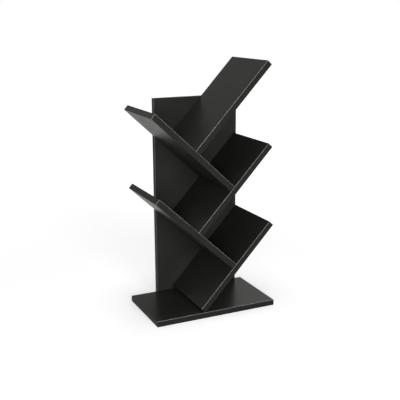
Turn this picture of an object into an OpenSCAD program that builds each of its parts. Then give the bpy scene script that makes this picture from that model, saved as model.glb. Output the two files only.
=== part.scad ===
// Tree shaped bookshelf of melamine faced boards with plastic edge bands.
// Five slanted shelves stand on each other above a base, two falling ones crossing between
// three rising ones, and all of them are screwed to an upright board behind them.
// X runs across, Y from the front to the back, Z up. The origin is on the floor, under the
// middle of the whole piece.

/* [Boards] */
// Thickness of every board
board_t = 16; // [12:0.5:20]
// Depth of the shelves and of the base, from front to back
shelf_depth = 200; // [160:5:300]
// Width of the base
base_w = 350; // [320:5:450]
// Width of the upright back board
back_w = 252; // [230:2:300]
// Height of the upright back board
back_h = 572; // [540:2:600]
// How far the middle of the back board lies to the right of the middle of the base
back_shift = 31; // [10:1:40]

/* [Slanted shelves] */
// Length of each slanted shelf
shelf_len = 300; // [270:5:400]
// Angle of the rising shelves above the floor, the falling ones cross them squarely
slant = 47; // [44:0.5:50]
// Distance up a rising shelf, from its foot to the top face of the shelf that falls onto it
rise_step = 153; // [140:1:175]
// Distance up a falling shelf, from its low end to the top face of the shelf standing on it
fall_step = 152; // [140:1:175]
// How far the foot of the bottom shelf stands to the left of the middle of the base
foot_left = 36; // [15:1:60]

/* [Edge bands] */
// Thickness of the plastic edge bands
band_t = 1; // [0.8:0.1:2]
// Radius on the long arrises of the edge bands
arris_r = 0.7; // [0.3:0.1:0.8]

/* [Screws] */
// Length of a screw, from its head to its point
screw_len = 50; // [42:1:60]
// Diameter of a screw's head
head_d = 10; // [9:0.5:12]
// Height of the straight rim of a screw's head
head_rim = 0.8; // [0.4:0.1:1.5]
// Height of the cone under a screw's head
head_cone = 2.2; // [1.5:0.1:3]
// Diameter of the plain shoulder under a screw's head
shoulder_d = 7; // [6:0.1:8]
// Length of a screw's head and shoulder together
shoulder_len = 14; // [10:0.5:20]
// Diameter of the threaded shank of a screw
shank_d = 5; // [4:0.1:5.8]
// Length of a screw's blunt point
point_len = 3; // [2:0.5:5]
// Width across the flats of the hexagon socket in a screw's head
socket_w = 4; // [3:0.5:5]
// Depth of the hexagon socket
socket_depth = 3.4; // [2:0.1:5]

/* [Where the screws sit] */
// From the low end of a shelf to the first screw through the back board
low_hold = 60; // [50:1:80]
// From the free end of a shelf to the last screw through the back board
end_hold = 60; // [40:1:80]
// Least distance from a screw to the edge of the back board, measured along X or Z
edge_hold = 15; // [12:1:20]
// From the side edges of the back board to the outer screws of the base
base_hold = 30; // [20:1:60]
// From the front or back edge of a shelf to the screws of a butt joint
joint_inset = 45; // [40:1:60]

/* [Dowels and caps] */
// Diameter of a dowel
dowel_d = 8; // [6:0.5:8]
// Length of a dowel
dowel_len = 30; // [25:1:40]
// Depth of a dowel in the face of the board that carries the joint
dowel_face_depth = 10; // [6:0.5:10]
// Chamfer on the ends of a dowel
dowel_chamfer = 1; // [0.5:0.1:1.5]
// Diameter of the stick-on caps over the screw heads
cap_d = 13; // [12.5:0.5:16]
// Thickness of the caps
cap_t = 0.6; // [0.4:0.1:1]

/* [Fits] */
// Clearance all round a screw or a dowel in its bore
bore_gap = 0.1; // [0.05:0.01:0.15]
// Spare depth past the point of a screw or the ends of a dowel
end_gap = 0.3; // [0.2:0.1:0.5]

/* [Hidden] */

$fn = 32;
// How far a cutting shape runs past the face that it opens
overrun = 1;

// The shelves are numbered upwards: 0 bottom, 1 lower cross, 2 middle, 3 upper cross, 4 top.
// The even ones rise to the right and the odd ones fall to it.
shelves = [0, 1, 2, 3, 4];
function rises(shelf) = shelf % 2 == 0;
// Each shelf but the bottom one butts on the shelf below it
function butts(shelf) = shelf > 0 && shelf < len(shelves);
butting_shelves = [for (shelf = shelves) if (butts(shelf)) shelf];

// Directions in the plane of the front: up a rising shelf, and up a falling shelf
up_rising = [cos(slant), sin(slant)];
up_falling = [-sin(slant), cos(slant)];
function up_along(shelf) = rises(shelf) ? up_rising : up_falling;

// The low corner of a shelf's top face, measured from the middle of the base. Each shelf
// stands on the one below, on its top face, and the bottom one on its lower arris.
function chain(shelf) = !butts(shelf)
    ? [-foot_left, board_t] + up_falling * board_t
    : chain(shelf - 1) + up_along(shelf - 1) * (rises(shelf - 1) ? rise_step : fall_step);

// The outermost points of the whole piece on the left and on the right of the base's middle
falling_tip_x = [for (shelf = shelves) if (!rises(shelf))
    (chain(shelf) + up_falling * shelf_len - up_rising * board_t)[0]];
rising_tip_x = [for (shelf = shelves) if (rises(shelf))
    (chain(shelf) + up_rising * shelf_len)[0]];
left_x = min(concat([-base_w / 2, back_shift - back_w / 2], falling_tip_x));
right_x = max(concat([base_w / 2, back_shift + back_w / 2], rising_tip_x));

// Where the base and the back board lie once the origin is in the middle
base_mid = -(left_x + right_x) / 2;
back_mid = base_mid + back_shift;
front_y = -(shelf_depth + board_t) / 2;
back_y = front_y + shelf_depth;
function low_corner(shelf) = chain(shelf) + [base_mid, 0];

// The last screw of a shelf is end_hold from its free end, or nearer where the back board
// ends first, at its side or at its top
function side_reach(shelf) = rises(shelf)
    ? (back_mid + back_w / 2 - edge_hold - low_corner(shelf)[0]) / up_rising[0]
    : (back_mid - back_w / 2 + edge_hold - low_corner(shelf)[0]) / up_falling[0];
function top_reach(shelf) = (back_h - edge_hold - low_corner(shelf)[1]) / up_along(shelf)[1];
function last_hold(shelf) = min(shelf_len - end_hold, side_reach(shelf), top_reach(shelf));
function hold_places(shelf) = [low_hold, last_hold(shelf)];

// Across the base
base_holds = [for (side = [-1, 0, 1]) back_mid + side * (back_w / 2 - base_hold)];

// Up the shelf below, to the middle of the end that butts on it
function butt_place(shelf) = (rises(shelf - 1) ? rise_step : fall_step) - board_t / 2;
joint_ys = [joint_inset, shelf_depth - joint_inset];

board_color = [0.09, 0.09, 0.09];
band_color = [0.13, 0.13, 0.13];
zinc_color = [0.72, 0.72, 0.7];
dowel_color = [0.8, 0.66, 0.46];
cap_color = [0.1, 0.1, 0.1];

// Puts a shape in a shelf's own frame: X up along it from its low end, Y from its front edge
// to its back edge, Z square to its top face, which is at 0
module on_shelf(shelf) {
    translate([low_corner(shelf)[0], front_y, low_corner(shelf)[1]])
        if (rises(shelf))
            rotate([0, -slant, 0]) children();
        else
            rotate([0, -slant - 90, 0]) mirror([0, 0, 1]) children();
}

// A strip of edge band lying along X, with its outer face towards -Y and its arrises rounded
module band_strip(len) {
    rotate([90, 0, 90])
        linear_extrude(len)
            band_profile();
}

module band_profile() {
    translate([arris_r, 0])
        square([band_t - arris_r, board_t]);
    translate([0, arris_r])
        square([band_t, board_t - 2 * arris_r]);
    intersection() {
        square([band_t, board_t]);
        for (z = [arris_r, board_t - arris_r])
            translate([arris_r, z])
                circle(arris_r);
    }
}

// A screw, or with a gap the bore that it sits in, with its head at 0 and its point up +Z
module screw_form(gap = 0, spare = 0, past = 0) {
    head_r = head_d / 2 + gap;
    shoulder_r = shoulder_d / 2 + gap;
    shank_r = shank_d / 2 + gap;
    rotate_extrude()
        polygon([
            [0, -past],
            [head_r, -past],
            [head_r, head_rim],
            [shoulder_r, head_rim + head_cone],
            [shoulder_r, shoulder_len],
            [shank_r, shoulder_len + shoulder_r - shank_r],
            [shank_r, screw_len - point_len + spare],
            [shank_r / 2, screw_len + spare],
            [0, screw_len + spare]
        ]);
}

module screw() {
    difference() {
        screw_form();
        translate([0, 0, -overrun])
            cylinder(h = socket_depth + overrun, d = socket_w / cos(180 / 6), $fn = 6);
    }
}

module screw_bore() {
    screw_form(bore_gap, end_gap, overrun);
}

// A dowel, or with a gap its bore, with the joint's face at 0 and the butting board up +Z
module dowel_form(gap = 0, spare = 0) {
    r = dowel_d / 2 + gap;
    rotate_extrude()
        polygon([
            [0, -dowel_face_depth - spare],
            [r - dowel_chamfer, -dowel_face_depth - spare],
            [r, -dowel_face_depth - spare + dowel_chamfer],
            [r, dowel_len - dowel_face_depth + spare - dowel_chamfer],
            [r - dowel_chamfer, dowel_len - dowel_face_depth + spare],
            [0, dowel_len - dowel_face_depth + spare]
        ]);
}

// Copies a shape to each screw that holds a shelf to the back board, its head at the back
module at_shelf_holds(shelf) {
    on_shelf(shelf)
        for (x = hold_places(shelf))
            translate([x, shelf_depth + board_t, -board_t / 2])
                rotate([90, 0, 0]) children();
}

// Copies a shape to each screw that holds the base to the back board
module at_base_holds() {
    for (x = base_holds)
        translate([x, back_y + board_t, board_t / 2])
            rotate([90, 0, 0]) children();
}

// Copies a shape to each screw of the joint below a shelf: Z runs up into that shelf's end,
// from the underside of the shelf that it butts on
module at_joint_screws(shelf) {
    on_shelf(shelf - 1)
        for (y = joint_ys)
            translate([butt_place(shelf), y, -board_t]) children();
}

// Puts a shape at the dowel of the joint below a shelf, with the joint's face at 0
module at_joint_dowel(shelf) {
    on_shelf(shelf - 1)
        translate([butt_place(shelf), shelf_depth / 2, 0]) children();
}

// Every bore that crosses a shelf: the back screws, the joint at its low end and the joint
// of the shelf that stands on it
module shelf_bores(shelf) {
    at_shelf_holds(shelf) screw_bore();
    for (upper = [shelf, shelf + 1])
        if (butts(upper)) {
            at_joint_screws(upper) screw_bore();
            at_joint_dowel(upper) dowel_form(bore_gap, end_gap);
        }
}

// The faced board of a shelf inside its bands. Only the bottom shelf has a band at its foot,
// the others butt there with a sawn end.
module shelf_core(shelf) {
    foot = butts(shelf) ? 0 : band_t;
    difference() {
        on_shelf(shelf)
            translate([foot, band_t, -board_t])
                cube([shelf_len - band_t - foot, shelf_depth - 2 * band_t, board_t]);
        shelf_bores(shelf);
    }
}

module shelf_front_band(shelf) {
    on_shelf(shelf)
        translate([0, 0, -board_t])
            band_strip(shelf_len);
}

module shelf_back_band(shelf) {
    difference() {
        on_shelf(shelf)
            translate([shelf_len, shelf_depth, -board_t])
                rotate([0, 0, 180]) band_strip(shelf_len);
        at_shelf_holds(shelf) screw_bore();
    }
}

module shelf_end_band(shelf) {
    on_shelf(shelf)
        translate([shelf_len, band_t, -board_t])
            rotate([0, 0, 90]) band_strip(shelf_depth - 2 * band_t);
}

module shelf_foot_band(shelf) {
    on_shelf(shelf)
        translate([0, shelf_depth - band_t, -board_t])
            rotate([0, 0, -90]) band_strip(shelf_depth - 2 * band_t);
}

module base_board() {
    color(board_color)
        difference() {
            translate([base_mid - base_w / 2 + band_t, front_y + band_t, 0])
                cube([base_w - 2 * band_t, shelf_depth - 2 * band_t, board_t]);
            at_base_holds() screw_bore();
        }
}

module base_front_band() {
    color(band_color)
        translate([base_mid - base_w / 2, front_y, 0])
            band_strip(base_w);
}

module base_back_band() {
    color(band_color)
        difference() {
            translate([base_mid + base_w / 2, back_y, 0])
                rotate([0, 0, 180]) band_strip(base_w);
            at_base_holds() screw_bore();
        }
}

module base_left_band() {
    color(band_color)
        translate([base_mid - base_w / 2, back_y - band_t, 0])
            rotate([0, 0, -90]) band_strip(shelf_depth - 2 * band_t);
}

module base_right_band() {
    color(band_color)
        translate([base_mid + base_w / 2, front_y + band_t, 0])
            rotate([0, 0, 90]) band_strip(shelf_depth - 2 * band_t);
}

module back_board() {
    color(board_color)
        difference() {
            translate([back_mid - back_w / 2 + band_t, back_y, 0])
                cube([back_w - 2 * band_t, board_t, back_h - band_t]);
            at_base_holds() screw_bore();
            for (shelf = shelves)
                at_shelf_holds(shelf) screw_bore();
        }
}

module back_top_band() {
    color(band_color)
        translate([back_mid - back_w / 2, back_y, back_h])
            rotate([-90, 0, 0]) band_strip(back_w);
}

module back_left_band() {
    color(band_color)
        translate([back_mid - back_w / 2, back_y, 0])
            band_post();
}

module back_right_band() {
    color(band_color)
        translate([back_mid + back_w / 2, back_y, 0])
            mirror([1, 0, 0]) band_post();
}

// A strip of edge band standing up, with its outer face towards -X
module band_post() {
    linear_extrude(back_h - band_t)
        band_profile();
}

module bottom_shelf() {
    color(board_color) shelf_core(0);
}

module bottom_shelf_front_band() {
    color(band_color) shelf_front_band(0);
}

module bottom_shelf_back_band() {
    color(band_color) shelf_back_band(0);
}

module bottom_shelf_end_band() {
    color(band_color) shelf_end_band(0);
}

module bottom_shelf_foot_band() {
    color(band_color) shelf_foot_band(0);
}

module lower_cross_shelf() {
    color(board_color) shelf_core(1);
}

module lower_cross_shelf_front_band() {
    color(band_color) shelf_front_band(1);
}

module lower_cross_shelf_back_band() {
    color(band_color) shelf_back_band(1);
}

module lower_cross_shelf_end_band() {
    color(band_color) shelf_end_band(1);
}

module middle_shelf() {
    color(board_color) shelf_core(2);
}

module middle_shelf_front_band() {
    color(band_color) shelf_front_band(2);
}

module middle_shelf_back_band() {
    color(band_color) shelf_back_band(2);
}

module middle_shelf_end_band() {
    color(band_color) shelf_end_band(2);
}

module upper_cross_shelf() {
    color(board_color) shelf_core(3);
}

module upper_cross_shelf_front_band() {
    color(band_color) shelf_front_band(3);
}

module upper_cross_shelf_back_band() {
    color(band_color) shelf_back_band(3);
}

module upper_cross_shelf_end_band() {
    color(band_color) shelf_end_band(3);
}

module top_shelf() {
    color(board_color) shelf_core(4);
}

module top_shelf_front_band() {
    color(band_color) shelf_front_band(4);
}

module top_shelf_back_band() {
    color(band_color) shelf_back_band(4);
}

module top_shelf_end_band() {
    color(band_color) shelf_end_band(4);
}

module back_screws() {
    color(zinc_color) {
        at_base_holds() screw();
        for (shelf = shelves)
            at_shelf_holds(shelf) screw();
    }
}

module joint_screws() {
    color(zinc_color)
        for (shelf = butting_shelves)
            at_joint_screws(shelf) screw();
}

module joint_dowels() {
    color(dowel_color)
        for (shelf = butting_shelves)
            at_joint_dowel(shelf) dowel_form();
}

module screw_caps() {
    color(cap_color)
        for (shelf = butting_shelves)
            at_joint_screws(shelf)
                translate([0, 0, -cap_t])
                    cylinder(h = cap_t, d = cap_d);
}

base_board();
base_front_band();
base_back_band();
base_left_band();
base_right_band();
back_board();
back_top_band();
back_left_band();
back_right_band();
bottom_shelf();
bottom_shelf_front_band();
bottom_shelf_back_band();
bottom_shelf_end_band();
bottom_shelf_foot_band();
lower_cross_shelf();
lower_cross_shelf_front_band();
lower_cross_shelf_back_band();
lower_cross_shelf_end_band();
middle_shelf();
middle_shelf_front_band();
middle_shelf_back_band();
middle_shelf_end_band();
upper_cross_shelf();
upper_cross_shelf_front_band();
upper_cross_shelf_back_band();
upper_cross_shelf_end_band();
top_shelf();
top_shelf_front_band();
top_shelf_back_band();
top_shelf_end_band();
back_screws();
joint_screws();
joint_dowels();
screw_caps();
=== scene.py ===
# Tree shaped bookshelf in near-black melamine board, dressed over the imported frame.
import math
import bmesh
import bpy
from mathutils import Matrix, Vector


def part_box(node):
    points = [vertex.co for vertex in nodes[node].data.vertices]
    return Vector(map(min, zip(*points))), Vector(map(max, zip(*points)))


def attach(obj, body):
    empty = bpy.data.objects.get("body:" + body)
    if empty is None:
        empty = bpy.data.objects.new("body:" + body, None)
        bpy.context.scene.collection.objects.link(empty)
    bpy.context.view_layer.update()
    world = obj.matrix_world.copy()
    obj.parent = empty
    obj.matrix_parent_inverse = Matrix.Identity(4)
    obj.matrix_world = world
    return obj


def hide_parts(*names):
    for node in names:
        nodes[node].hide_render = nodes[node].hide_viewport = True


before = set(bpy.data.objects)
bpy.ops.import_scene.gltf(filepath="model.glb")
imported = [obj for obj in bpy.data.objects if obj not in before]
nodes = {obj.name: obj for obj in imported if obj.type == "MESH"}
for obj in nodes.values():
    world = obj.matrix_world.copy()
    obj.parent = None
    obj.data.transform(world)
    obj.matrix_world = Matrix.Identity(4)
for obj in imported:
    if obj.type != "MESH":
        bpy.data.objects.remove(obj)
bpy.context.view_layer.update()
mm = 0.001
print("frame loaded:", len(nodes), "pieces")

# Camera, from the vanishing lines of the photograph
photoCamera = {
    "place": (-0.7970, -1.7207, 0.7904),  # metres
    "turn": -24.90,                       # degrees from straight ahead, to the right
    "down": 14.51,                        # degrees below level
    "roll": -0.30,
    "focalPixels": 715.2,
    "photoPixels": 400,
    "sensor": 36.0,                       # millimetres
}


def makeCamera(p):
    data = bpy.data.cameras.new("photoCamera")
    data.sensor_width = p["sensor"]
    data.lens = p["focalPixels"] / p["photoPixels"] * p["sensor"]
    data.clip_start = 0.01
    cam = bpy.data.objects.new("photoCamera", data)
    bpy.context.scene.collection.objects.link(cam)
    turn = Matrix.Rotation(math.radians(p["turn"]), 4, "Z")
    tilt = Matrix.Rotation(math.radians(90 - p["down"]), 4, "X")
    roll = Matrix.Rotation(math.radians(p["roll"]), 4, "Z")
    cam.matrix_world = Matrix.Translation(p["place"]) @ turn @ tilt @ roll
    bpy.context.scene.camera = cam
    return cam


makeCamera(photoCamera)

# Where the shelves lie, read back from the frame
shelfPlan = {
    "slant": math.radians(47),
    "rising": ("bottom_shelf", "middle_shelf", "top_shelf"),
    "falling": ("lower_cross_shelf", "upper_cross_shelf"),
}
baseLow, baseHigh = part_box("base_front_band")
boardThick = baseHigh.z - baseLow.z
bandThick = baseHigh.y - baseLow.y
baseWidth = baseHigh.x - baseLow.x
frontY = baseLow.y
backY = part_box("base_back_band")[1].y
shelfDepth = backY - frontY


def shelfMatrix(name):
    # X runs up along the shelf from its low end, Y to the back, Z square out of its top face
    low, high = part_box(name + "_front_band")
    c, s = math.cos(shelfPlan["slant"]), math.sin(shelfPlan["slant"])
    if name in shelfPlan["rising"]:
        corner = Vector((low.x, frontY, low.z + boardThick * c))
        along, out = Vector((c, 0, s)), Vector((-s, 0, c))
    else:
        corner = Vector((high.x, frontY, low.z + boardThick * s))
        along, out = Vector((-s, 0, c)), Vector((c, 0, s))
    m = Matrix.Identity(4)
    for i, column in enumerate((along, Vector((0, 1, 0)), out, corner)):
        m.col[i][:3] = column
    return m


def shelfLength(name):
    low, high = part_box(name + "_front_band")
    c, s = math.cos(shelfPlan["slant"]), math.sin(shelfPlan["slant"])
    if name in shelfPlan["rising"]:
        return (high.x - low.x - boardThick * s) / c
    return (high.x - low.x - boardThick * c) / s


# Node helpers
def newMaterial(name):
    mat = bpy.data.materials.new(name)
    mat.use_nodes = True
    tree = mat.node_tree
    tree.nodes.clear()
    out = tree.nodes.new("ShaderNodeOutputMaterial")
    shader = tree.nodes.new("ShaderNodeBsdfPrincipled")
    tree.links.new(shader.outputs[0], out.inputs["Surface"])
    coords = tree.nodes.new("ShaderNodeTexCoord")
    return mat, tree, shader, coords.outputs["Object"]


def stretched(tree, coords, scale):
    node = tree.nodes.new("ShaderNodeMapping")
    node.inputs["Scale"].default_value = scale
    tree.links.new(coords, node.inputs["Vector"])
    return node.outputs["Vector"]


def noise(tree, coords, pattern):
    # A pattern is its scale, detail and roughness
    node = tree.nodes.new("ShaderNodeTexNoise")
    for socket, v in zip(("Scale", "Detail", "Roughness"), pattern):
        node.inputs[socket].default_value = v
    tree.links.new(coords, node.inputs["Vector"])
    return node.outputs["Fac"]


def ranged(tree, value, fromLow, fromHigh, toLow, toHigh):
    node = tree.nodes.new("ShaderNodeMapRange")
    sockets = ("From Min", "From Max", "To Min", "To Max")
    for socket, v in zip(sockets, (fromLow, fromHigh, toLow, toHigh)):
        node.inputs[socket].default_value = v
    tree.links.new(value, node.inputs["Value"])
    return node.outputs["Result"]


def ramp(tree, value, stops):
    node = tree.nodes.new("ShaderNodeValToRGB")
    elements = node.color_ramp.elements
    for i, (at, color) in enumerate(stops):
        element = elements[i] if i < 2 else elements.new(at)
        element.position = at
        element.color = (*color, 1)
    tree.links.new(value, node.inputs["Fac"])
    return node.outputs["Color"]


def added(tree, a, b, weight):
    node = tree.nodes.new("ShaderNodeMath")
    node.operation = "MULTIPLY_ADD"
    tree.links.new(b, node.inputs[0])
    node.inputs[1].default_value = weight
    tree.links.new(a, node.inputs[2])
    return node.outputs[0]


def toned(tree, shader, value, look):
    # Base colour from dark to light, over the part of the pattern given as toneAt
    stops = zip(look["toneAt"], (look["dark"], look["light"]))
    tree.links.new(ramp(tree, value, stops), shader.inputs["Base Color"])


def sheened(tree, shader, value, look):
    # Roughness from low to high, over the part of the pattern given as sheenAt
    rough = ranged(tree, value, *look["sheenAt"], look["roughLow"], look["roughHigh"])
    tree.links.new(rough, shader.inputs["Roughness"])


def bumped(tree, shader, height, look):
    node = tree.nodes.new("ShaderNodeBump")
    node.inputs["Distance"].default_value = look["bumpDepth"]
    node.inputs["Strength"].default_value = look["bumpStrength"]
    tree.links.new(height, node.inputs["Height"])
    tree.links.new(node.outputs["Normal"], shader.inputs["Normal"])


def melamineMaterial():
    # Satin foil over particleboard: a fine pearl grain, faint cloudiness and waves in the sheen
    look = {
        "dark": (0.0207, 0.0206, 0.0186), "light": (0.0302, 0.03, 0.0272), "toneAt": (0.3, 0.8),
        "roughLow": 0.285, "roughHigh": 0.33, "sheenAt": (0.3, 0.7), "sheenLevel": 0.024,
        "cloud": (9, 4, 0.55), "grain": (1500, 2, 0.6), "wave": (60, 2, 0.5),
        "grainInTone": 0.15, "waveInBump": 0.8, "bumpDepth": 0.00001, "bumpStrength": 0.6,
    }
    mat, tree, shader, coords = newMaterial("satinMelamine")
    shader.inputs["Specular IOR Level"].default_value = look["sheenLevel"]
    cloud = noise(tree, coords, look["cloud"])
    grain = noise(tree, coords, look["grain"])
    wave = noise(tree, coords, look["wave"])
    toned(tree, shader, added(tree, cloud, grain, look["grainInTone"]), look)
    sheened(tree, shader, cloud, look)
    bumped(tree, shader, added(tree, grain, wave, look["waveInBump"]), look)
    return mat


def bandMaterial():
    # Embossed plastic strip, a touch darker and duller than the faces
    look = {
        "dark": (0.0142, 0.0141, 0.0126), "light": (0.0217, 0.0215, 0.0193), "toneAt": (0.5, 0.95),
        "roughLow": 0.38, "roughHigh": 0.5, "sheenAt": (0.3, 0.7), "sheenLevel": 0.04,
        "grain": (700, 3, 0.6), "streak": (90, 3, 0.55),
        "streakInTone": 0.5, "bumpDepth": 0.00002, "bumpStrength": 0.7,
    }
    mat, tree, shader, coords = newMaterial("grainedBand")
    shader.inputs["Specular IOR Level"].default_value = look["sheenLevel"]
    grain = noise(tree, coords, look["grain"])
    streak = noise(tree, coords, look["streak"])
    toned(tree, shader, added(tree, grain, streak, look["streakInTone"]), look)
    sheened(tree, shader, streak, look)
    bumped(tree, shader, grain, look)
    return mat


def arrisAndHighlightMaterial():
    # The trimmed arris of the band, scraped pale unevenly by the cutter; laid only on the arrises
    # that face the lamps, so it is partly a painted highlight
    look = {
        "dark": (0.14, 0.139, 0.134), "light": (0.29, 0.288, 0.28), "toneAt": (0.3, 0.7),
        "roughLow": 0.28, "roughHigh": 0.42, "sheenAt": (0.3, 0.7),
        "wear": (130, 4, 0.6), "chatter": (900, 2, 0.5), "bumpDepth": 0.00002, "bumpStrength": 0.5,
    }
    mat, tree, shader, coords = newMaterial("scrapedArrisPaintedHighlight")
    wear = noise(tree, coords, look["wear"])
    chatter = noise(tree, coords, look["chatter"])
    toned(tree, shader, wear, look)
    sheened(tree, shader, wear, look)
    bumped(tree, shader, chatter, look)
    return mat


def zincMaterial():
    # Bright zinc with a fine spangle
    look = {
        "dark": (0.42, 0.43, 0.44), "light": (0.66, 0.66, 0.65), "toneAt": (0.35, 0.65),
        "roughLow": 0.24, "roughHigh": 0.42, "sheenAt": (0.3, 0.7),
        "spots": (700, 4, 0.6), "marks": (2600, 2, 0.5), "bumpDepth": 0.00001, "bumpStrength": 0.5,
    }
    mat, tree, shader, coords = newMaterial("zincPlate")
    shader.inputs["Metallic"].default_value = 1.0
    spots = noise(tree, coords, look["spots"])
    marks = noise(tree, coords, look["marks"])
    toned(tree, shader, spots, look)
    sheened(tree, shader, spots, look)
    bumped(tree, shader, marks, look)
    return mat


def beechMaterial():
    # Bare wood, its pores drawn out along X
    look = {
        "dark": (0.36, 0.21, 0.10), "light": (0.62, 0.42, 0.24), "toneAt": (0.3, 0.7),
        "rough": 0.7, "stretch": (220, 900, 900), "grain": (1.0, 5, 0.65),
        "bumpDepth": 0.00005, "bumpStrength": 0.6,
    }
    mat, tree, shader, coords = newMaterial("bareBeech")
    shader.inputs["Roughness"].default_value = look["rough"]
    grain = noise(tree, stretched(tree, coords, look["stretch"]), look["grain"])
    toned(tree, shader, grain, look)
    bumped(tree, shader, grain, look)
    return mat


def capMaterial():
    # Matt foil of the stick-on caps
    look = {
        "dark": (0.012, 0.0118, 0.0115), "light": (0.02, 0.0196, 0.019), "toneAt": (0.35, 0.65),
        "roughLow": 0.38, "roughHigh": 0.5, "sheenAt": (0.3, 0.7), "sheenLevel": 0.036,
        "grain": (1300, 3, 0.6), "bumpDepth": 0.00002, "bumpStrength": 0.6,
    }
    mat, tree, shader, coords = newMaterial("capFoil")
    shader.inputs["Specular IOR Level"].default_value = look["sheenLevel"]
    grain = noise(tree, coords, look["grain"])
    toned(tree, shader, grain, look)
    sheened(tree, shader, grain, look)
    bumped(tree, shader, grain, look)
    return mat


melamine = melamineMaterial()
band = bandMaterial()
arrisAndHighlight = arrisAndHighlightMaterial()
zinc = zincMaterial()
beech = beechMaterial()
capFoil = capMaterial()
print("materials made")

# The boards keep their exact bored solids and get the melamine finish
boardNames = ("base_board", "back_board") + shelfPlan["rising"] + shelfPlan["falling"]
for name in boardNames:
    mesh = nodes[name].data
    mesh.materials.clear()
    mesh.materials.append(melamine)


def finishPiece(bm, name, materials, cadNode):
    bmesh.ops.recalc_face_normals(bm, faces=bm.faces[:])
    mesh = bpy.data.meshes.new(name)
    bm.to_mesh(mesh)
    bm.free()
    for mat in materials:
        mesh.materials.append(mat)
    piece = bpy.data.objects.new(name, mesh)
    bpy.context.scene.collection.objects.link(piece)
    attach(piece, "root")
    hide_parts(cadNode)
    return piece


# Edge bands
bandLook = {
    "arrisRadius": 0.7 * mm,
    "backArris": 0.35 * mm,   # finer on the back board, its painted highlight only on the left front arris
    "arrisSteps": 5,
    "endRadius": 0.25 * mm,   # at the short ends, where the next strip begins
    "endSteps": 2,
    "glueLine": 0.12 * mm,    # hairline left along the board's face
    "touch": 0.01 * mm,       # nearer than this counts as the same place
}


def bevelEdges(bm, edges, offset, steps):
    return bmesh.ops.bevel(bm, geom=edges, offset=offset, offset_type="OFFSET", segments=steps,
                           profile=0.5, affect="EDGES", clamp_overlap=True, material=-1)


def bandStrip(name, length, place, paleTopHighlight=False, paleEndHighlight=False, radius=bandLook["arrisRadius"]):
    # Lies along X with its outer face towards -Y, then goes to its place
    tiny = bandLook["touch"]
    bm = bmesh.new()
    size = Matrix.Diagonal((length, bandThick, boardThick, 1))
    middle = Matrix.Translation((length / 2, bandThick / 2, boardThick / 2))
    bmesh.ops.create_cube(bm, size=1.0, matrix=middle @ size)

    def longEdges(y):
        return [e for e in bm.edges
                if abs(e.verts[0].co.x - e.verts[1].co.x) > length / 2
                and all(abs(v.co.y - y) < tiny for v in e.verts)]

    bevelEdges(bm, longEdges(bandThick), bandLook["glueLine"], 1)
    upright = [e for e in bm.edges
               if paleEndHighlight and all(v.co.y < tiny and length - v.co.x < tiny for v in e.verts)]
    made = bevelEdges(bm, longEdges(0) + upright, radius, bandLook["arrisSteps"])
    for face in made["faces"]:
        face.smooth = True
        middle = face.calc_center_median()
        # Pale arris colour, a scraped edge and partly a painted highlight, goes only on the upper
        # long arris and the upright end arris, where the light falls
        top = paleTopHighlight and middle.z > boardThick / 2
        if top or (upright and length - middle.x < radius):
            face.material_index = 1
    ends = [e for e in bm.edges
            if all(v.co.x < tiny or (length - v.co.x < tiny and not upright) for v in e.verts)
            and all(v.co.y < bandThick - bandLook["glueLine"] - tiny for v in e.verts)
            and abs(e.verts[0].co.x - e.verts[1].co.x) < tiny]
    bevelEdges(bm, ends, bandLook["endRadius"], bandLook["endSteps"])
    bm.transform(place)
    return finishPiece(bm, name + "_strip", (band, arrisAndHighlight), name)


def turned(degrees, x, y, z):
    return Matrix.Translation((x, y, z)) @ Matrix.Rotation(math.radians(degrees), 4, "Z")


def shelfBands(shelf):
    m = shelfMatrix(shelf)
    length = shelfLength(shelf)
    # The front band gets the painted highlight on its upper and upright end arrises
    bandStrip(shelf + "_front_band", length, m @ turned(0, 0, 0, -boardThick),
              paleTopHighlight=True, paleEndHighlight=True)
    bandStrip(shelf + "_back_band", length, m @ turned(180, length, shelfDepth, -boardThick))
    inner = shelfDepth - 2 * bandThick
    bandStrip(shelf + "_end_band", inner, m @ turned(90, length, bandThick, -boardThick))
    if shelf + "_foot_band" in nodes:
        foot = m @ turned(-90, 0, shelfDepth - bandThick, -boardThick)
        bandStrip(shelf + "_foot_band", inner, foot)


def baseBands():
    left, right = baseLow.x, baseHigh.x
    inner = shelfDepth - 2 * bandThick
    # The base front band gets the painted highlight on its upper arris
    bandStrip("base_front_band", baseWidth, turned(0, left, frontY, 0), paleTopHighlight=True)
    bandStrip("base_back_band", baseWidth, turned(180, right, backY, 0))
    bandStrip("base_left_band", inner, turned(-90, left, backY - bandThick, 0))
    bandStrip("base_right_band", inner, turned(90, right, frontY + bandThick, 0))


def backBands():
    low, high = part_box("back_top_band")
    radius = bandLook["backArris"]
    up = Matrix.Rotation(math.radians(-90), 4, "X")
    top = Matrix.Translation((low.x, low.y, high.z)) @ up
    bandStrip("back_top_band", high.x - low.x, top, radius=radius)
    reach = high.z - bandThick
    left = Matrix.Translation((low.x, high.y, reach)) @ standing(1)
    # The left band gets the painted highlight on its front arris
    bandStrip("back_left_band", reach, left, paleTopHighlight=True, radius=radius)
    right = Matrix.Translation((high.x, high.y, 0)) @ standing(-1)
    bandStrip("back_right_band", reach, right, radius=radius)


def standing(side):
    # On end, the upper long arris turned to the front, the outer face to the left (1) or right (-1)
    m = Matrix.Identity(4)
    m.col[0][:3] = (0, 0, -side)
    m.col[1][:3] = (side, 0, 0)
    m.col[2][:3] = (0, -1, 0)
    return m


for shelf in shelfPlan["rising"] + shelfPlan["falling"]:
    shelfBands(shelf)
baseBands()
backBands()
print("edge bands made")

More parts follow.
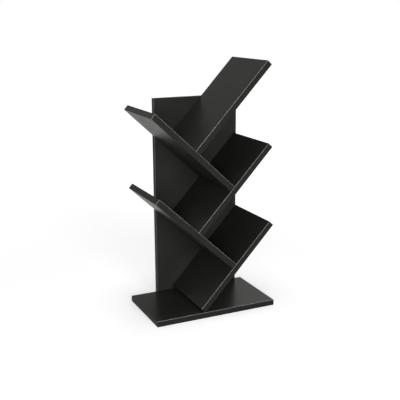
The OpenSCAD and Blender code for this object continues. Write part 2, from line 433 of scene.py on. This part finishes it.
# Screws: countersunk head with a hexagon socket, plain shoulder, coarse thread
screwLook = {
    "length": 50 * mm, "headRadius": 5 * mm, "rim": 0.8 * mm, "cone": 2.2 * mm,
    "shoulderRadius": 3.5 * mm, "shoulder": 14 * mm, "shankRadius": 2.5 * mm, "point": 3 * mm,
    "headEdge": 0.15 * mm, "headLand": 2 * mm,   # break of the rim, flat ring round the socket
    "socketWidth": 4 * mm, "socketDepth": 3.4 * mm,
    "threadHeight": 0.8 * mm, "threadPitch": 3 * mm, "threadFoot": 1.1 * mm,
    "threadSink": 0.1 * mm, "around": 36, "threadSteps": 16,
    "turnByX": 40, "turnByZ": 25,   # radians a metre, so that no two sockets stand alike
}


def screwMesh(p):
    # One screw with its head at 0 and its point up +Z
    bm = bmesh.new()
    profile = [
        (p["headRadius"] - p["headEdge"], 0), (p["headRadius"], p["headEdge"]),
        (p["headRadius"], p["rim"]),
        (p["shoulderRadius"], p["rim"] + p["cone"]), (p["shoulderRadius"], p["shoulder"]),
        (p["shankRadius"], p["shoulder"] + p["shoulderRadius"] - p["shankRadius"]),
        (p["shankRadius"], p["length"] - p["point"]), (p["shankRadius"] / 2, p["length"]),
    ]
    verts = [bm.verts.new((r, 0, z)) for r, z in profile]
    edges = [bm.edges.new(pair) for pair in zip(verts, verts[1:])]
    bmesh.ops.spin(bm, geom=verts + edges, cent=(0, 0, 0), axis=(0, 0, 1), angle=2 * math.pi,
                   steps=p["around"], use_merge=True, use_duplicate=False)
    rims = [e for e in bm.edges if e.is_boundary]
    bmesh.ops.holes_fill(bm, edges=rims, sides=0)
    head = min(bm.faces, key=lambda f: f.calc_center_median().z)
    for face in bm.faces:
        face.smooth = len(face.verts) == 4
    hexSocket(bm, head, p)
    addThread(bm, p)
    return bm


def hexSocket(bm, head, p):
    bmesh.ops.inset_region(bm, faces=[head], thickness=p["headLand"], depth=0,
                           use_even_offset=True)
    half = p["socketWidth"] / 2
    flat = math.radians(60)   # one flat of the hexagon
    for v in head.verts:
        around = math.atan2(v.co.y, v.co.x)
        lean = (around + flat / 2) % flat - flat / 2
        reach = half / math.cos(lean)
        v.co.x, v.co.y = reach * math.cos(around), reach * math.sin(around)
    down = bmesh.ops.extrude_discrete_faces(bm, faces=[head])["faces"][0]
    down.smooth = False
    for v in down.verts:
        v.co.z += p["socketDepth"]
    for edge in down.edges:
        for face in edge.link_faces:
            face.smooth = False


def addThread(bm, p):
    # A pointed ridge wound up the shank, sunk a little into it
    start = p["shoulder"] + p["threadPitch"]
    turns = int((p["length"] - p["point"] - start) / p["threadPitch"])
    foot = p["threadFoot"] / 2
    corners = (
        (p["shankRadius"] - p["threadSink"], start - foot),
        (p["shankRadius"] + p["threadHeight"], start),
        (p["shankRadius"] - p["threadSink"], start + foot),
    )
    face = bm.faces.new([bm.verts.new((r, 0, z)) for r, z in corners])
    steps = turns * p["threadSteps"]
    bmesh.ops.spin(bm, geom=[face] + list(face.verts) + list(face.edges), cent=(0, 0, 0),
                   axis=(0, 0, 1), dvec=(0, 0, p["threadPitch"] / p["threadSteps"]),
                   angle=2 * math.pi * turns, steps=steps, use_merge=False, use_duplicate=True)


def copyTo(target, source, place):
    # Adds a copy of a bmesh to another, put in its place
    mesh = bpy.data.meshes.new("copyMesh")
    source.to_mesh(mesh)
    mesh.transform(place)
    target.from_mesh(mesh)
    bpy.data.meshes.remove(mesh)


def islands(node):
    # The points of each separate solid in a CAD node
    weld = 0.001 * mm
    bm = bmesh.new()
    bm.from_mesh(nodes[node].data)
    bmesh.ops.remove_doubles(bm, verts=bm.verts[:], dist=weld)
    left, found = set(bm.verts), []
    while left:
        group, todo = [], [left.pop()]
        while todo:
            v = todo.pop()
            group.append(v.co.copy())
            for e in v.link_edges:
                other = e.other_vert(v)
                if other in left:
                    left.remove(other)
                    todo.append(other)
        found.append(group)
    bm.free()
    return found


def backScrews():
    one = screwMesh(screwLook)
    bm = bmesh.new()
    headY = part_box("back_screws")[1].y
    for points in islands("back_screws"):
        xs = [v.x for v in points]
        zs = [v.z for v in points]
        at = Vector(((min(xs) + max(xs)) / 2, headY, (min(zs) + max(zs)) / 2))
        twist = at.x * screwLook["turnByX"] + at.z * screwLook["turnByZ"]
        turn = Matrix.Rotation(math.radians(90), 4, "X") @ Matrix.Rotation(twist, 4, "Z")
        copyTo(bm, one, Matrix.Translation(at) @ turn)
    one.free()
    return finishPiece(bm, "back_screw_set", (zinc,), "back_screws")


jointPlan = {
    "inset": 45 * mm,
    "dowelRadius": 4 * mm, "dowelLength": 30 * mm, "dowelDepth": 10 * mm, "dowelChamfer": 1 * mm,
    "dowelSides": 32, "fluteShare": 0.93,   # every other edge drawn in to this share
    "capRadius": 6.5 * mm, "capThick": 0.6 * mm,
    "capSides": 48, "capRimShare": 0.7, "capSteps": 4,   # rim rounded over this share of its height
}
shelfOrder = ("bottom_shelf", "lower_cross_shelf", "middle_shelf", "upper_cross_shelf", "top_shelf")
carriers = shelfOrder[:-1]


def buttMatrix(carrier, y, z):
    # Z runs up into the butting board, in the middle of its thickness
    upper = shelfMatrix(shelfOrder[shelfOrder.index(carrier) + 1]).translation
    step = (shelfMatrix(carrier).inverted() @ upper).x
    return shelfMatrix(carrier) @ Matrix.Translation((step - boardThick / 2, y, z))


def jointScrews():
    one = screwMesh(screwLook)
    bm = bmesh.new()
    for carrier in carriers:
        for y in (jointPlan["inset"], shelfDepth - jointPlan["inset"]):
            copyTo(bm, one, buttMatrix(carrier, y, -boardThick))
    one.free()
    return finishPiece(bm, "joint_screw_set", (zinc,), "joint_screws")


def jointDowels():
    # Fluted beech pins with chamfered ends
    p = jointPlan
    one = bmesh.new()
    middle = Matrix.Translation((0, 0, p["dowelLength"] / 2 - p["dowelDepth"]))
    bmesh.ops.create_cone(one, cap_ends=True, segments=p["dowelSides"], radius1=p["dowelRadius"],
                          radius2=p["dowelRadius"], depth=p["dowelLength"], matrix=middle)
    rims = [e for e in one.edges if any(len(f.verts) > 4 for f in e.link_faces)]
    bevelEdges(one, rims, p["dowelChamfer"], 1)
    side = 2 * math.pi / p["dowelSides"]
    for v in one.verts:
        outer = math.hypot(v.co.x, v.co.y) > p["dowelRadius"] - bandLook["touch"]
        if outer and round(math.atan2(v.co.y, v.co.x) / side) % 2:
            v.co.x *= p["fluteShare"]
            v.co.y *= p["fluteShare"]
    bm = bmesh.new()
    for carrier in carriers:
        copyTo(bm, one, buttMatrix(carrier, shelfDepth / 2, 0))
    one.free()
    return finishPiece(bm, "joint_dowel_set", (beech,), "joint_dowels")


def screwCaps():
    # Thin caps with a softly rounded rim, stuck over the joint screws
    p = jointPlan
    one = bmesh.new()
    middle = Matrix.Translation((0, 0, -p["capThick"] / 2))
    bmesh.ops.create_cone(one, cap_ends=True, segments=p["capSides"], radius1=p["capRadius"],
                          radius2=p["capRadius"], depth=p["capThick"], matrix=middle)
    rim = [e for e in one.edges
           if all(abs(v.co.z + p["capThick"]) < bandLook["touch"] for v in e.verts)]
    made = bevelEdges(one, rim, p["capThick"] * p["capRimShare"], p["capSteps"])
    for face in made["faces"]:
        face.smooth = True
    bm = bmesh.new()
    for carrier in carriers:
        for y in (p["inset"], shelfDepth - p["inset"]):
            copyTo(bm, one, buttMatrix(carrier, y, -boardThick))
    one.free()
    return finishPiece(bm, "screw_cap_set", (capFoil,), "screw_caps")


backScrews()
jointScrews()
jointDowels()
screwCaps()
print("fasteners made")

# Studio: pale floor, white surroundings, soft lamps
studio = {
    "floorSize": 12.0,
    "floorColor": (0.82, 0.82, 0.82),
    "floorLift": 0.5,         # extra brightness that only the camera and reflections see
    "farLift": 0.95,          # the same, out where the floor meets the background
    "liftNear": 0.6,          # metres from the middle, where the one turns into the other
    "liftFar": 4.0,
    "skyColor": (1.0, 1.0, 1.0),
    "skySeen": 1.0,
    "skyFill": 0.12,
    "aim": (0, 0, 0.3),
    "lamps": (
        # name, turn round the shelf, height in degrees, distance, size, watts
        ("frontLeftLamp", -25, 9, 3.0, 1.0, 32),
        ("frontLamp", 0, 9, 3.0, 1.0, 40),
        ("overheadLamp", 0, 85, 3.0, 1.0, 24),
        ("highLeftLamp", -35, 50, 3.0, 1.0, 5),
        ("backRightLamp", 141, 26, 3.0, 1.2, 14),
        ("backLeftLamp", -140, 40, 3.0, 1.0, 5),
    ),
}


def makeFloor(p):
    bm = bmesh.new()
    bmesh.ops.create_grid(bm, x_segments=1, y_segments=1, size=p["floorSize"] / 2)
    mesh = bpy.data.meshes.new("paleFloor")
    bm.to_mesh(mesh)
    bm.free()
    floor = bpy.data.objects.new("paleFloor", mesh)
    bpy.context.scene.collection.objects.link(floor)
    mat = bpy.data.materials.new("palePaper")
    mat.use_nodes = True
    tree = mat.node_tree
    tree.nodes.clear()
    out = tree.nodes.new("ShaderNodeOutputMaterial")
    paper = tree.nodes.new("ShaderNodeBsdfDiffuse")
    paper.inputs["Color"].default_value = (*p["floorColor"], 1)
    lift = tree.nodes.new("ShaderNodeEmission")
    rays = tree.nodes.new("ShaderNodeLightPath")
    coords = tree.nodes.new("ShaderNodeTexCoord")
    reach = tree.nodes.new("ShaderNodeVectorMath")
    reach.operation = "LENGTH"
    tree.links.new(coords.outputs["Object"], reach.inputs[0])
    spread = ranged(tree, reach.outputs["Value"], p["liftNear"], p["liftFar"],
                    p["floorLift"], p["farLift"])
    strength = tree.nodes.new("ShaderNodeMath")
    strength.operation = "MULTIPLY"
    tree.links.new(seenRays(tree, rays), strength.inputs[0])
    tree.links.new(spread, strength.inputs[1])
    tree.links.new(strength.outputs[0], lift.inputs["Strength"])
    both = tree.nodes.new("ShaderNodeAddShader")
    tree.links.new(paper.outputs[0], both.inputs[0])
    tree.links.new(lift.outputs[0], both.inputs[1])
    tree.links.new(both.outputs[0], out.inputs["Surface"])
    mesh.materials.append(mat)


def seenRays(tree, rays):
    # 1 where the camera, a gloss or a glass looks, 0 where only light bounces
    total = rays.outputs["Is Camera Ray"]
    for name in ("Is Glossy Ray", "Is Transmission Ray"):
        node = tree.nodes.new("ShaderNodeMath")
        node.operation = "MAXIMUM"
        tree.links.new(total, node.inputs[0])
        tree.links.new(rays.outputs[name], node.inputs[1])
        total = node.outputs[0]
    return total


def makeWorld(p):
    world = bpy.data.worlds.new("paleStudio")
    bpy.context.scene.world = world
    world.use_nodes = True
    tree = world.node_tree
    tree.nodes.clear()
    out = tree.nodes.new("ShaderNodeOutputWorld")
    sky = tree.nodes.new("ShaderNodeBackground")
    sky.inputs["Color"].default_value = (*p["skyColor"], 1)
    rays = tree.nodes.new("ShaderNodeLightPath")
    seen = seenRays(tree, rays)
    node = tree.nodes.new("ShaderNodeMapRange")
    node.inputs["To Min"].default_value = p["skyFill"]
    node.inputs["To Max"].default_value = p["skySeen"]
    tree.links.new(seen, node.inputs["Value"])
    tree.links.new(node.outputs["Result"], sky.inputs["Strength"])
    tree.links.new(sky.outputs[0], out.inputs["Surface"])


def makeLamps(p):
    aim = Vector(p["aim"])
    for name, turn, height, distance, size, watts in p["lamps"]:
        turn, height = math.radians(turn), math.radians(height)
        level = Vector((math.sin(turn), -math.cos(turn), 0)) * math.cos(height)
        away = level + Vector((0, 0, math.sin(height)))
        data = bpy.data.lights.new(name, "AREA")
        data.shape = "SQUARE"
        data.size = size
        data.energy = watts
        lamp = bpy.data.objects.new(name, data)
        bpy.context.scene.collection.objects.link(lamp)
        lamp.location = aim + away * distance
        lamp.rotation_euler = away.to_track_quat("Z", "Y").to_euler()


makeFloor(studio)
makeWorld(studio)
makeLamps(studio)
bpy.context.scene.view_settings.view_transform = "Standard"
print("studio made")

bpy.context.view_layer.update()
